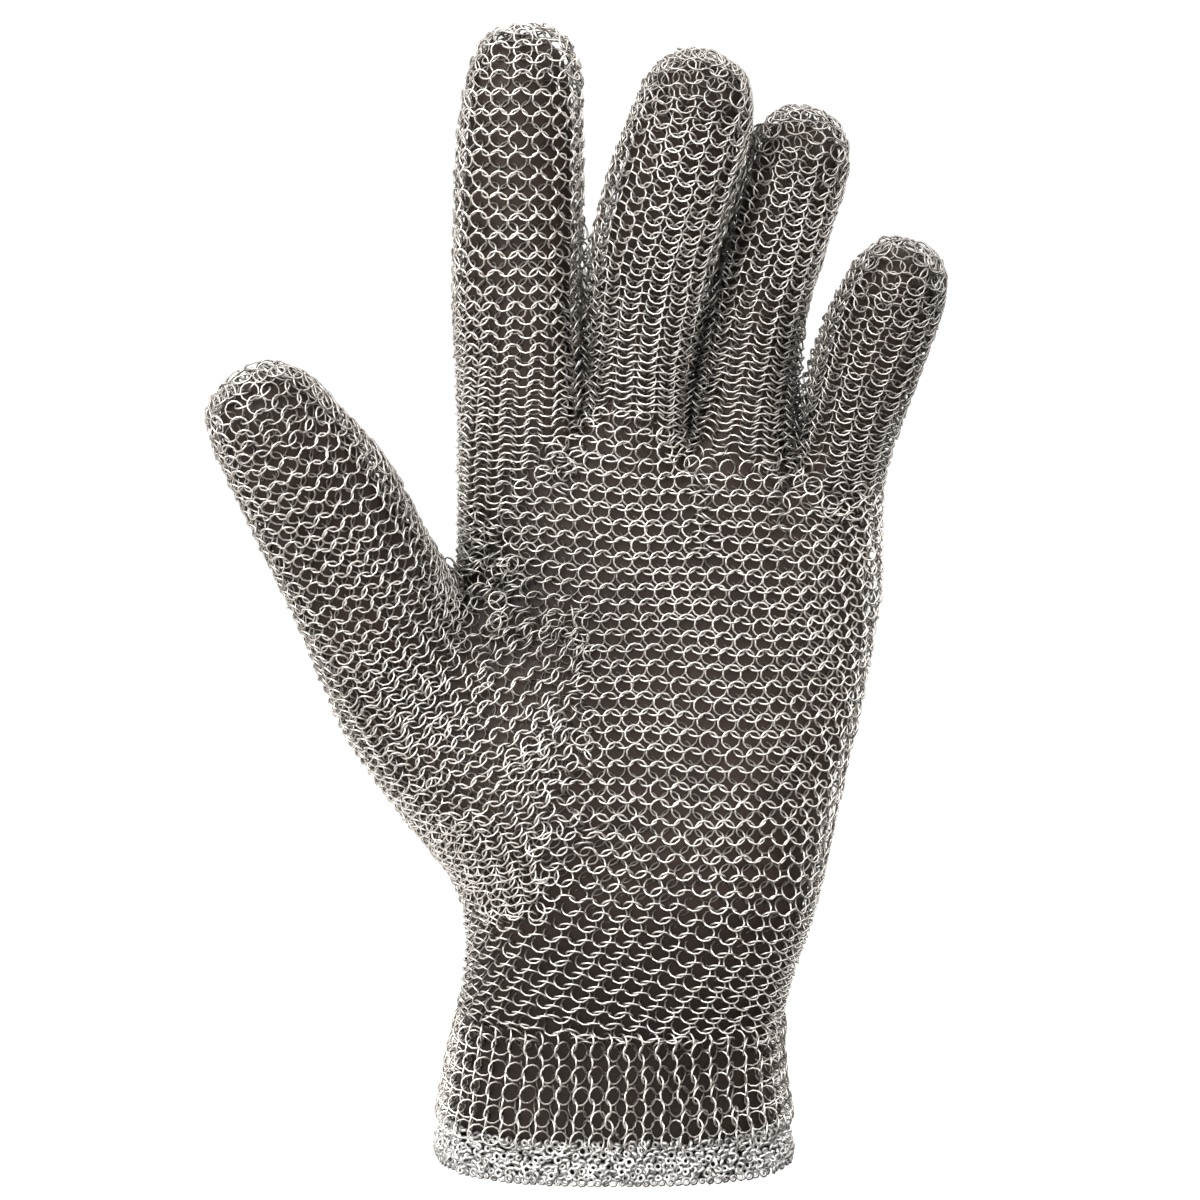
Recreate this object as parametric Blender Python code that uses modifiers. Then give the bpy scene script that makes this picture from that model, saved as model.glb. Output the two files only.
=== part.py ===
"""Chainmail glove for a left hand: panels of ring mail over a thin dark lining.

Run it with blender --background --python part.py, or from Blender's text editor.

Frame: +Z up along the fingers, palm towards -Y, thumb towards -X. The origin is the middle
of the wrist opening, at the lower edge of the hem. Tables and sizes are in millimetres.

One coarse cage of the whole glove is subdivided into a smooth outer surface. Each piece is
a wall that fills the space between two depths below the surface, over its own panel of it.
The depths are measured along vectors that lift all the faces round a point alike, because
walls offset along plain normals would run into each other in the crotches.
"""

import math

import bmesh
import bpy
from mathutils import Matrix, Vector

MM = 0.001

# Layers, as depths below the outer surface
MAIL_THICKNESS = 2.1
LAYER_GAP = 0.4
LINING_THICKNESS = 1.0
LINING_DEPTH = MAIL_THICKNESS + LAYER_GAP
LINING_HEM_CLEARANCE = 3.0
PANEL_GAP = 0.32
MITRE_LIMIT = 0.5  # least cosine sum used where a seam turns a sharp corner

# Offsets where faces of many directions meet in a point, as in the crotches: the weight of
# the point's normal, and the longest offset of each layer as a multiple of its depth
OFFSET_DAMPING = 0.12
MAIL_OFFSET_LIMIT = 1.3
LINING_OFFSET_LIMIT = 2.6

# Cross-sections of the cuff and hand, from the hem up: height at x = 0, its rise per
# millimetre of x, how far the left edge is lifted, the left and right edges, the front and
# back faces, and the share of the width at which the palm's seam crosses the section.
HAND_COLUMNS = ("name", "z", "slope", "lift", "left", "right", "front", "back", "seam")
HAND_ROWS = (
    ("hem_foot", 0.0, 0.00, 0.0, -39.6, 39.6, -28.3, 28.3, 0.295),
    ("hem_top", 10.5, 0.00, 0.0, -38.0, 38.2, -27.0, 26.8, 0.295),
    ("wrist", 31.0, 0.00, 0.0, -35.4, 35.2, -24.0, 23.0, 0.295),
    ("heel", 58.0, 0.00, 0.0, -28.0, 45.2, -27.5, 21.0, 0.16),
    ("thumb_low", 77.0, 0.00, 0.0, -53.0, 49.0, -26.0, 20.0, 0.40),
    ("thumb_middle", 96.0, 0.00, 0.0, -42.0, 53.5, -21.0, 20.5, 0.41),
    ("thumb_top", 114.0, -0.04, 6.0, -34.5, 57.0, -16.0, 22.0, 0.30),
    ("palm_top", 136.0, -0.12, -9.0, -34.5, 58.0, -11.0, 23.5, 0.11),
    ("finger_base", 151.5, -0.21, 0.0, -34.5, 57.5, -7.0, 23.5, 0.295),
)
ROUNDNESS = 2.5  # exponent of the sections' superellipse outline
LIFT_SHARE = 0.25  # share of the width over which the left edge's lift fades out

# Shares of the width at which the nine front and nine back points of a section stand.
# Every second one is a border between two fingers. On the front the third one is the seam.
WIDTH_SHARES = (0.045, 0.165, 0.295, 0.42, 0.543, 0.667, 0.79, 0.88, 0.955)
SEAM_POINT = 2

# Soft mounds and hollows of the palm: centre, reach each way, and how far it stands out.
MOUND_COLUMNS = ("name", "x", "z", "reach_x", "reach_z", "height")
MOUND_ROWS = (
    ("thumb_mound", -25.0, 80.0, 20.0, 26.0, 8.0),
    ("little_finger_mound", 30.0, 66.0, 16.0, 26.0, 3.5),
    ("palm_hollow", 8.0, 98.0, 16.0, 20.0, -2.5),
    ("ring_finger_valley", 16.0, 146.0, 5.0, 14.0, -2.2),
    ("little_finger_valley", 38.0, 142.0, 5.0, 14.0, -1.8),
)

# Fingers and thumb, from the root up: centre of each section, half width and half depth.
# The last row is the centre of the rounded end.
DIGIT_COLUMNS = ("x", "y", "z", "half_width", "half_depth")
DIGITS = {
    "thumb": (
        (-50.5, -11.0, 125.0, 17.0, 14.5),
        (-70.4, -21.0, 159.8, 14.6, 13.4),
    ),
    "index_finger": (
        (-20.8, 10.5, 172.0, 13.8, 13.0),
        (-19.4, 15.0, 227.4, 14.3, 12.6),
    ),
    "middle_finger": (
        (4.4, 9.5, 164.0, 10.8, 12.4),
        (7.7, 4.5, 192.0, 13.1, 12.4),
        (16.8, -7.5, 224.0, 13.6, 12.4),
    ),
    "ring_finger": (
        (26.6, 11.0, 162.0, 10.2, 12.0),
        (31.1, 11.0, 188.0, 11.0, 12.0),
        (38.4, 3.5, 212.5, 12.0, 11.8),
    ),
    "little_finger": (
        (50.0, 6.0, 160.0, 10.8, 11.4),
        (58.7, -8.0, 186.8, 11.6, 10.8),
    ),
}
FINGERS = ("index_finger", "middle_finger", "ring_finger", "little_finger")

# The rounded end of a digit, in shares of its radius: how far past the end centre each
# loop of the cage stands, and its size. The last point is the cage's tip.
END_LOOPS = ((0.0, 1.0), (0.78, 0.74))
END_TIP = 1.22

# Corners of a digit's eight-sided loop, in shares of half width and half depth to the front.
DIAGONAL = math.sqrt(0.5)
LOOP_CORNERS = (
    (-1.0, 0.0),
    (-DIAGONAL, DIAGONAL),
    (0.0, 1.0),
    (DIAGONAL, DIAGONAL),
    (1.0, 0.0),
    (DIAGONAL, -DIAGONAL),
    (0.0, -1.0),
    (-DIAGONAL, -DIAGONAL),
)
# A subdivided eight-sided loop shrinks by this much, so the cage is made larger.
LOOP_SHRINK = (2.0 + math.cos(math.radians(45.0))) / 3.0

# Panels: the hem, cuff and hand are bands of the hand's sections, and each digit is its own.
# The thumb and index finger panels also take in stretches of the hand.
PANELS = ("hem", "cuff", "hand", "thumb", *FINGERS)
BAND_OF_ROW = {"hem_foot": "hem", "hem_top": "cuff"}

MATERIALS = {
    "mail": ((0.52, 0.51, 0.49), 0.34, 1.0),
    "hem_mail": ((0.68, 0.67, 0.65), 0.42, 1.0),
    "lining": ((0.045, 0.036, 0.031), 0.60, 0.0),
}


def clear_scene():
    for obj in list(bpy.data.objects):
        bpy.data.objects.remove(obj)


def make_material(name, colour, roughness, metallic):
    material = bpy.data.materials.new(name)
    material.use_nodes = True
    shader = material.node_tree.nodes["Principled BSDF"]
    shader.inputs["Base Color"].default_value = (*colour, 1.0)
    shader.inputs["Roughness"].default_value = roughness
    shader.inputs["Metallic"].default_value = metallic
    return material


def table(columns, rows):
    return [dict(zip(columns, row)) for row in rows]


def mound_height(x, z):
    """How far the palm stands forward at this place, from all its mounds."""
    total = 0.0
    for mound in table(MOUND_COLUMNS, MOUND_ROWS):
        across = (x - mound["x"]) / mound["reach_x"]
        along = (z - mound["z"]) / mound["reach_z"]
        total += mound["height"] * math.exp(-(across**2) - along**2)
    return total


def front_share(row, point):
    """Share of the width at which a front point stands, with the third one on the seam."""
    base, seam = WIDTH_SHARES[SEAM_POINT], row["seam"]
    share = WIDTH_SHARES[point]
    if point <= SEAM_POINT:
        return seam * share / base
    return seam + (1.0 - seam) * (share - base) / (1.0 - base)


def hand_point(row, share, side):
    """A point of a hand section: share of the width, and side -1 for front or +1 for back."""
    x = row["left"] + share * (row["right"] - row["left"])
    z = row["z"] + row["slope"] * x
    z += row["lift"] * max(0.0, 1.0 - share / LIFT_SHARE) ** 2
    middle = (row["front"] + row["back"]) / 2
    half_depth = (row["back"] - row["front"]) / 2
    bulge = (1.0 - abs(2.0 * share - 1.0) ** ROUNDNESS) ** (1.0 / ROUNDNESS)
    y = middle + side * half_depth * bulge
    if side < 0:
        y -= mound_height(x, z) * bulge
    return Vector((x, y, z))


def hand_loop(bm, row):
    """The twenty cage points of a hand section, as left, front, right and back ones."""
    return {
        "left": bm.verts.new(hand_point(row, 0.0, 0)),
        "front": [
            bm.verts.new(hand_point(row, front_share(row, i), -1))
            for i in range(len(WIDTH_SHARES))
        ],
        "right": bm.verts.new(hand_point(row, 1.0, 0)),
        "back": [bm.verts.new(hand_point(row, share, 1)) for share in WIDTH_SHARES],
    }


def around(loop):
    """A hand section's points in order, from the left edge across the front and back."""
    return [loop["left"], *loop["front"], loop["right"], *reversed(loop["back"])]


def join_loops(bm, panel_layer, lower, upper, panel_of):
    """Quads between two loops of as many points. panel_of gives a column's panel, or None
    where the surface stays open."""
    for column in range(len(lower)):
        panel = panel_of(column)
        if panel is None:
            continue
        following = (column + 1) % len(lower)
        corners = (lower[column], lower[following], upper[following], upper[column])
        bm.faces.new(corners)[panel_layer] = PANELS.index(panel)


def digit_loop(bm, centre, axis, half_width, half_depth):
    """An eight-sided loop across a digit, with its front corner towards the palm side."""
    towards_palm = Vector((0.0, -1.0, 0.0))
    front = (towards_palm - axis * towards_palm.dot(axis)).normalized()
    side = axis.cross(front)
    return [
        bm.verts.new(
            centre
            + side * (across * half_width / LOOP_SHRINK)
            + front * (forward * half_depth / LOOP_SHRINK)
        )
        for across, forward in LOOP_CORNERS
    ]


def add_digit(bm, panel_layer, name, root_loop):
    """A closed finger or thumb that grows out of root_loop."""
    sections = table(DIGIT_COLUMNS, DIGITS[name])
    centres = [Vector((s["x"], s["y"], s["z"])) for s in sections]
    root_centre = sum((v.co for v in root_loop), Vector()) / len(root_loop)
    path = [root_centre, *centres]
    lower = root_loop
    for i, section in enumerate(sections[:-1]):
        axis = (path[i + 2] - path[i]).normalized()
        sizes = (section["half_width"], section["half_depth"])
        upper = digit_loop(bm, centres[i], axis, *sizes)
        join_loops(bm, panel_layer, lower, upper, lambda column: name)
        lower = upper
    axis = (path[-1] - path[-2]).normalized()
    end, end_centre = sections[-1], centres[-1]
    radius = (end["half_width"] + end["half_depth"]) / 2
    for advance, size in END_LOOPS:
        sizes = (end["half_width"] * size, end["half_depth"] * size)
        upper = digit_loop(bm, end_centre + axis * (advance * radius), axis, *sizes)
        join_loops(bm, panel_layer, lower, upper, lambda column: name)
        lower = upper
    tip = bm.verts.new(end_centre + axis * (END_TIP * radius))
    for corner in range(1, len(lower), 2):
        following = (corner + 1) % len(lower)
        quad = (lower[corner - 1], lower[corner], lower[following], tip)
        bm.faces.new(quad)[panel_layer] = PANELS.index(name)


def hand_panel(row_name, column):
    """Panel of the cage face above a hand section. Columns 0 to 9 run across the front from
    the left edge, and 10 to 19 back across the back. None is the hole of the thumb."""
    from_left = column if column < 10 else 19 - column
    on_back = column >= 10
    if row_name in BAND_OF_ROW:
        return BAND_OF_ROW[row_name]
    if row_name in ("thumb_low", "thumb_middle") and from_left == 0:
        return None
    if (on_back and from_left > 0) or from_left > SEAM_POINT:
        return "hand"
    if row_name in ("heel", "thumb_low", "thumb_middle", "thumb_top"):
        return "thumb"
    return "index_finger" if row_name == "palm_top" else "hand"


def build_cage():
    """The coarse cage of the whole glove, open at the wrist, with a panel for each face."""
    bm = bmesh.new()
    panel_layer = bm.faces.layers.int.new("panel")
    rows = table(HAND_COLUMNS, HAND_ROWS)
    loops = {row["name"]: hand_loop(bm, row) for row in rows}
    for lower, upper in zip(rows, rows[1:]):
        join_loops(
            bm,
            panel_layer,
            around(loops[lower["name"]]),
            around(loops[upper["name"]]),
            lambda column, name=lower["name"]: hand_panel(name, column),
        )

    base = loops["finger_base"]
    webs = [base["left"]]
    for border in (2, 4, 6):
        front, back = base["front"][border].co, base["back"][border].co
        webs.append(bm.verts.new((front + back) / 2))
    webs.append(base["right"])
    for i, name in enumerate(FINGERS):
        first = 2 * i
        front = base["front"][first : first + 3]
        back = base["back"][first : first + 3]
        root = [webs[i], *front, webs[i + 1], *reversed(back)]
        add_digit(bm, panel_layer, name, root)

    low, middle, top = (loops[n] for n in ("thumb_low", "thumb_middle", "thumb_top"))
    thumb_root = [
        low["left"],
        low["front"][0],
        middle["front"][0],
        top["front"][0],
        top["left"],
        top["back"][0],
        middle["back"][0],
        low["back"][0],
    ]
    add_digit(bm, panel_layer, "thumb", thumb_root)
    bm.verts.remove(middle["left"])
    bmesh.ops.recalc_face_normals(bm, faces=bm.faces)
    return bm


def smooth_surface(cage):
    """The cage after subdivision, as points, outward vectors, and (corners, panel) faces."""
    mesh = bpy.data.meshes.new("cage")
    cage.to_mesh(mesh)
    cage.free()
    guide = bpy.data.objects.new("cage", mesh)
    bpy.context.scene.collection.objects.link(guide)
    subdivision = guide.modifiers.new("subdivision", "SUBSURF")
    subdivision.levels = 1
    subdivision.render_levels = 1
    guide.modifiers.new("triangles", "TRIANGULATE").quad_method = "SHORTEST_DIAGONAL"
    evaluated = guide.evaluated_get(bpy.context.evaluated_depsgraph_get())
    smooth = bpy.data.meshes.new_from_object(evaluated)
    points = [vertex.co.copy() for vertex in smooth.vertices]
    panels = smooth.attributes["panel"].data
    faces = [(tuple(p.vertices), PANELS[panels[p.index].value]) for p in smooth.polygons]
    outward = outward_vectors(smooth)
    bpy.data.objects.remove(guide)
    bpy.data.meshes.remove(smooth)
    bpy.data.meshes.remove(mesh)
    return points, outward, faces


def outward_vectors(mesh):
    """For each point, the vector that best lifts every face around it by one unit. In a
    crotch it is longer than a normal, so a wall there keeps its thickness."""
    sums = [Matrix(((0.0,) * 3,) * 3) for _ in mesh.vertices]
    targets = [Vector() for _ in mesh.vertices]
    for polygon in mesh.polygons:
        normal = polygon.normal
        outer_product = Matrix([normal * component for component in normal])
        for i in polygon.vertices:
            sums[i] += outer_product
            targets[i] += normal
    outward = []
    for vertex, total, target in zip(mesh.vertices, sums, targets):
        total += Matrix.Diagonal((OFFSET_DAMPING,) * 3)
        outward.append(total.inverted() @ (target + vertex.normal * OFFSET_DAMPING))
    return outward


def rim_edges(faces):
    """Edges used by one face only, in the direction in which that face uses them."""
    directed = {(f[i], f[(i + 1) % len(f)]) for f in faces for i in range(len(f))}
    return [edge for edge in directed if (edge[1], edge[0]) not in directed]


def towards_centre(points, corners, middle):
    """Unit vector from the middle of an edge to the centre of a face beside it."""
    centre = sum((points[i] for i in corners), Vector()) / len(corners)
    return (centre - middle).normalized()


def drawn_back(points, faces, other_faces, rim, distance):
    """How far each rim point moves away from the other panels, so that the rim stands this
    far from where it was."""
    beside = {}
    for panel, panel_faces in ((0, faces), (1, other_faces)):
        for f in panel_faces:
            for i, corner in enumerate(f):
                beside.setdefault(frozenset((f[i - 1], corner)), {})[panel] = f
    sideways = {}
    for a, b in rim:
        middle = (points[a] + points[b]) / 2
        own_and_other = beside[frozenset((a, b))]
        away = towards_centre(points, own_and_other[0], middle)
        if 1 in own_and_other:
            away -= towards_centre(points, own_and_other[1], middle)
        along = (points[b] - points[a]).normalized()
        away = (away - along * away.dot(along)).normalized()
        for i in (a, b):
            sideways.setdefault(i, []).append(away)
    moves = {}
    for i, aways in sideways.items():
        total = sum(aways, Vector())
        moves[i] = total * (distance / max(total.dot(aways[0]), MITRE_LIMIT))
    return moves


def offset_points(surface, depth, limit, wrist_rim):
    """Every point of the surface, moved in by this depth. The wrist's rim stays level."""
    points, outward, _ = surface
    moved = []
    for i, (point, vector) in enumerate(zip(points, outward)):
        if i in wrist_rim:
            vector = Vector((vector.x, vector.y, 0.0)).normalized()
        moved.append(point - vector * (depth * min(1.0, limit / vector.length)))
    return moved


def add_wall(name, surface, panels, depths, limit, material, collection):
    """A closed wall between two depths below the surface, over these panels of it."""
    points, _, all_faces = surface
    faces = [corners for corners, panel in all_faces if panel in panels]
    other_faces = [corners for corners, panel in all_faces if panel not in panels]
    rim = rim_edges(faces)
    wrist_rim = {i for edge in rim_edges([f for f, _ in all_faces]) for i in edge}
    if other_faces:
        moves = drawn_back(points, faces, other_faces, rim, PANEL_GAP / 2)
        moves = {i: move for i, move in moves.items() if i not in wrist_rim}
    else:
        moves = drawn_back(points, faces, other_faces, rim, LINING_HEM_CLEARANCE)

    bm = bmesh.new()
    used = sorted({i for f in faces for i in f})
    outer, inner = (
        {i: bm.verts.new((layer[i] + moves.get(i, Vector())) * MM) for i in used}
        for layer in (offset_points(surface, depth, limit, wrist_rim) for depth in depths)
    )
    for corners in faces:
        bm.faces.new([outer[i] for i in corners])
        bm.faces.new([inner[i] for i in reversed(corners)])
    for a, b in rim:
        # Both panels of a seam split their rims along the same diagonal.
        if a < b:
            bm.faces.new((outer[b], outer[a], inner[b]))
            bm.faces.new((outer[a], inner[a], inner[b]))
        else:
            bm.faces.new((outer[b], outer[a], inner[a]))
            bm.faces.new((outer[b], inner[a], inner[b]))
    bmesh.ops.recalc_face_normals(bm, faces=bm.faces)

    mesh = bpy.data.meshes.new(name)
    bm.to_mesh(mesh)
    bm.free()
    mesh.shade_smooth()
    mesh.set_sharp_from_angle(angle=math.radians(50.0))
    mesh.materials.append(material)
    collection.objects.link(bpy.data.objects.new(name, mesh))


def main():
    clear_scene()
    collection = bpy.data.collections.new("chainmail_glove")
    bpy.context.scene.collection.children.link(collection)
    materials = {name: make_material(name, *look) for name, look in MATERIALS.items()}
    surface = smooth_surface(build_cage())
    mail_depths = (0.0, MAIL_THICKNESS)
    for panel in PANELS:
        material = materials["hem_mail" if panel == "hem" else "mail"]
        wall = (mail_depths, MAIL_OFFSET_LIMIT, material, collection)
        add_wall(f"{panel}_mail", surface, (panel,), *wall)
    lining_depths = (LINING_DEPTH, LINING_DEPTH + LINING_THICKNESS)
    wall = (lining_depths, LINING_OFFSET_LIMIT, materials["lining"], collection)
    add_wall("lining", surface, PANELS, *wall)


main()
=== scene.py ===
"""Looks of the chainmail glove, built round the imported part.

The rings are set out in sweeps. In a sweep, a plane moves along a path through one part of
the glove and cuts its skin in a line at each row, and the rings stand along those lines. The
walls of the CAD mail decide which piece a ring belongs to. Sizes are in millimetres, and in
metres in the materials and the studio.
"""

import math
from collections import namedtuple

import bmesh
import bpy
import numpy as np
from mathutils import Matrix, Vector
from mathutils.bvhtree import BVHTree
from mathutils.geometry import barycentric_transform
from mathutils.kdtree import KDTree


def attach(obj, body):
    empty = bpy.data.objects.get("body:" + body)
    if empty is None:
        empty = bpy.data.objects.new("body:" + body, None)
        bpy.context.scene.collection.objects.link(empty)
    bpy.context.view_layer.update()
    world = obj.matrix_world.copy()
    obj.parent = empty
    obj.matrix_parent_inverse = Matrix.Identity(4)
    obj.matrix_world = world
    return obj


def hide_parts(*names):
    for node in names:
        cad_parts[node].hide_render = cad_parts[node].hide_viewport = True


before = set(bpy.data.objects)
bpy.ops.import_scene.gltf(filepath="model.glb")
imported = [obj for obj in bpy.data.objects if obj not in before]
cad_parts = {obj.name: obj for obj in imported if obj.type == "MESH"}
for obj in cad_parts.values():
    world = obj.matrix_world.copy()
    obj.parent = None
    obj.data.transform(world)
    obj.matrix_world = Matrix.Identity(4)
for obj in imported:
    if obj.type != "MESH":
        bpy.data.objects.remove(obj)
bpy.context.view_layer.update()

MM = 0.001
rng = np.random.default_rng(11)

# Rings
WIRE_RADIUS = 0.205
WIRE_SIDES = 4
SIDE_BULGE = 1.10  # a four-sided wire is drawn this much larger to look round
RING_SEGMENTS = 11
RING_STAND = 2.65  # height of a flat ring over the CAD lining's face
LEAST_STAND = 1.0  # however steep, a ring's centre stays this high
TILT_SINK = 1.1  # how much of its own rise a tilted ring sinks by, so its edge stays level
STEEPEST = math.radians(58.0)
LEAST_LEAN = 5.0  # degrees that flat rings in a row turn, so that each lies over the next
LEAN_GROWTH = 14.0  # degrees more for each millimetre that they overlap
MOST_LEAN = 10.0
LEAN_FADE = 1.5  # how soon that turn fades as the rings tilt
MAIL_MIDDLE = 1.4  # height over that face of the middle of the CAD mail walls

# How irregularly the rings lie, and how many times that on some sweeps and in some places
TILT_JITTER = math.radians(3.5)
YAW_JITTER = math.radians(4.0)
ROLL_JITTER = math.radians(4.0)
PLACE_JITTER = 0.09
WARP_HEIGHT = 0.32  # how far slow waves move the rows and columns
SWEEP_JITTER = {"thumb": 1.4, "web": 1.6}
TIP_JITTER = 1.3  # on the rounded ends
BORDER_JITTER = 1.5
CREASE_JITTER = 2.2  # added in the deepest folds

# Sweeps
SWEEP_STEP = 1.0
SWEEP_ANGLES = 120
PATH_SAMPLES = 400
PATH_EASE = 6.0  # distance over which the corners of a path's table are eased
FIRST_REACH = 30.0  # how far off the skin is taken to be where the first ray misses it
MOST_REACH = 60.0  # how far from its path the skin lies at most, in sweeps along no digit
MOST_STRAY = 2.5  # a ring's place is left out if it is further than this from the skin
SIDE_SOFTNESS = 1.8  # how soon, from the sides on, the two kinds of row lean unlike
CLOSE_ROW = 2.8  # rows this close lean at the sides as their mean
LOOSE_ROW = 3.5  # rows this far apart lean at the sides at LOOSE_TILT
LOOSE_TILT = 11.0
LAST_ROW_SHARE = 0.93  # the last row of a rounded end stands at this share of its turn
TIP_CLOSENESS = 0.82  # how much closer the rows of a rounded end lie
CROWN_PITCH = 4.4  # the single ring at the top of a rounded end, and its tilt
CROWN_TILT = math.radians(14.0)

# Borders between panels and between sweeps
SEAM_REACH = 2.2  # how far a panel's rings may stand over its border
SEAM_CLEARANCE = 1.3  # least distance between rings of two sweeps
SEAM_CLEARANCES = {"thumb": 1.4, "web": 1.32}  # where it is another
BORDER_WAVE = 1.5  # how far the borders wander
BORDER_PACES = ((0.45, 0.17), (0.62, 0.25))  # in what waves, for those going up and across
BORDER_UNEVENNESS = 1.3
PALM_MIDDLE = 90.0  # only above this height does the weave of the palm go on past its panel
PALM_LEFT = -10.0  # to the right of this, it goes up the fingers, and to the left sideways
PALM_RAISE = 9.0  # how far up the fingers' fronts the weave of the palm goes on
PALM_RAISE_FALL = 0.15  # how fast that falls off towards the little finger
PALM_SPREAD = 8.0  # how far the weave of the palm goes on towards the thumb
PALM_SPREAD_MIDDLE = 135.0
PALM_SPREAD_HALF = 13.0

# Digits that lie close to each other
MEETING_REACH = 12.0  # digits whose linings are nearer than this have their mail raised
MOST_LIFT = 1.9
LIFT_FALL = 4.0  # over how much of that reach the rise falls off

# Second rings, which close up mail that is raised, folded or, on the sides of digits, loose
FILLER_LIFT = 0.3  # least rise, depth of a fold, and share of the way round to the side
FILLER_FOLD = 0.4
FILLER_SIDE = 0.35
FILLER_ROW = 2.6  # least distance between rows on the sides
FILLER_SINK = 0.4  # share of the rise that the second ring has
FILLER_SHIFT = 0.25  # how far it stands from the first, in row steps, elsewhere and on sides
SIDE_FILLER_SHIFT = 0.5
# painted shade on the second rings, which lie under others
FILLER_PAINTED_LIGHT = 0.15
FILLER_FOLD_PAINTED_LIGHT = 0.3
SIDE_FILLER_PAINTED_LIGHT = 0.35

# Rings that mend bare spots
BARE_GAP = 2.03  # a spot further than this from every ring gets a ring of its own
BORDER_GAP = 1.7  # and by a border, a spot further than this
MEND_RADIUS = 1.85
MEND_TILT = math.radians(48.0)
MEND_JITTER = 1.5
MEND_SHINE = 0.45

# Lining
LINING_RISE = 0.35  # how far over the CAD lining's face the lining seen stands
LINING_THICKNESS = 0.8
LINING_FOOT = 0.8
RIM_HEIGHT = 0.6  # the CAD lining's rim, which is cut off, lies this close to its foot
MERGE_DISTANCE = 0.002

# Painted light and shade, and wear. The wire is dark low over the CAD lining's face, as painted
# shade in the hollows, and rubbed bright high over it. These factors say how bright.
SHADED_TO_RUBBED = (0.8, 2.4)  # heights where the wire is darkest, with painted shade, and most rubbed
SHADE_TO_RUB_FALL = 1.5
# Painted light and shade by sweep, darker on the digits further to the right.
SWEEP_PAINTED_LIGHT = {
    "thumb": 1.15, "web": 0.6, "hand": 0.88,
    "index": 1.5, "middle": 0.68, "ring": 0.55, "little": 0.42,
}
# painted shade on the rounded ends
TIP_PAINTED_LIGHT = 0.5
BORDER_SHINE = 0.8
SIDE_PAINTED_SHADE = 0.4  # painted shade on the very sides of digits
CREASE_SHADE = 0.55  # painted shade in the deepest folds
LIFT_SHADE = 0.85  # painted shade where mail is raised between close digits, and how soon it is reached
LIFT_SHADE_RISE = 2.0
# Patches of painted light and painted shade on the palm side: x, z, reach, and by how much.
PAINTED_LIGHT_PATCHES = (
    (-24.0, 118.0, 22.0, -0.55),
    (-19.0, 152.0, 10.0, -0.40),
    (34.0, 50.0, 14.0, 0.50),
    (0.0, 113.0, 15.0, -0.25),
    (-18.0, 80.0, 10.0, -0.30),
    (-71.0, 133.0, 10.0, 1.1),
    (-61.0, 112.0, 10.0, 1.0),
    (-50.0, 83.0, 10.0, 0.8),
    (-41.0, 70.0, 10.0, 1.3),
    (-29.0, 58.0, 9.0, 0.8),
)
# The side in painted shade, and how much, on the thumb and elsewhere; the far side gets painted
# light.
SHADED_SIDES = {"thumb": (Vector((0.87, 0.0, 0.5)), 0.6)}
SHADED_SIDE = (Vector((-1.0, 0.0, 0.0)), 0.3)
# the least factor that painted light and shade leave
LEAST_PAINTED_LIGHT = 0.3

MAIL_NODES = (
    "hem_mail", "cuff_mail", "hand_mail", "thumb_mail", "index_finger_mail",
    "middle_finger_mail", "ring_finger_mail", "little_finger_mail",
)
HAND_NODES = MAIL_NODES[2:]
DIGIT_NODES = MAIL_NODES[3:]

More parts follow.
